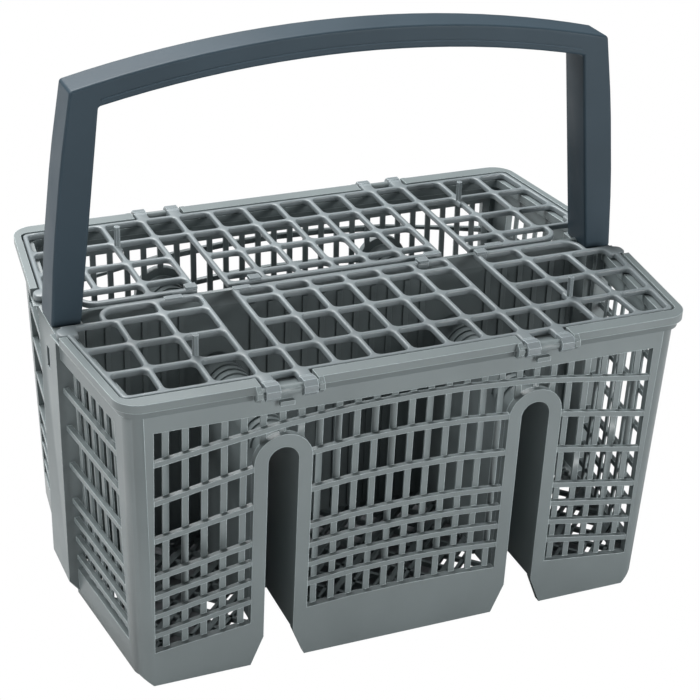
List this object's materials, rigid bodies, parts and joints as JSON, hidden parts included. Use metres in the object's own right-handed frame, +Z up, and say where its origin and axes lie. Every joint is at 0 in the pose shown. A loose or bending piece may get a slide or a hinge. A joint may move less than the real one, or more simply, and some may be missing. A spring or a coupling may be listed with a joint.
{
  "type": "dishwasher cutlery basket",
  "caption": "Free-standing plastic grille basket for cutlery, with arched slots for rack wires, a carrying handle and hinged grid lids that open outwards.",
  "frame": {"origin": "centre of the footprint, on the plane that the feet stand on", "axes": "+X along the basket towards the right end seen from the front, +Y from the front to the back, +Z up"},
  "size_m": [0.241, 0.1678, 0.2278],
  "materials": {
    "basket_plastic": "satin moulded grey",
    "handle_plastic": "satin moulded dark slate grey",
    "lid_plastic": "satin moulded grey"
  },
  "bodies": {
    "basket": {"basket_body": "basket_plastic", "handle": "handle_plastic"},
    "front_lid": {"front_lid": "lid_plastic"},
    "back_lid": {"back_lid": "lid_plastic"}
  },
  "joints": [
    {"name": "front_lid_hinge", "type": "hinge", "parent": "basket", "child": "front_lid", "pos_m": [0, -0.0808, 0.1236], "axis": [1, 0, 0], "range_deg": [0, 110]},
    {"name": "back_lid_hinge", "type": "hinge", "parent": "basket", "child": "back_lid", "pos_m": [0, 0.0808, 0.1236], "axis": [-1, 0, 0], "range_deg": [0, 110]}
  ]
}
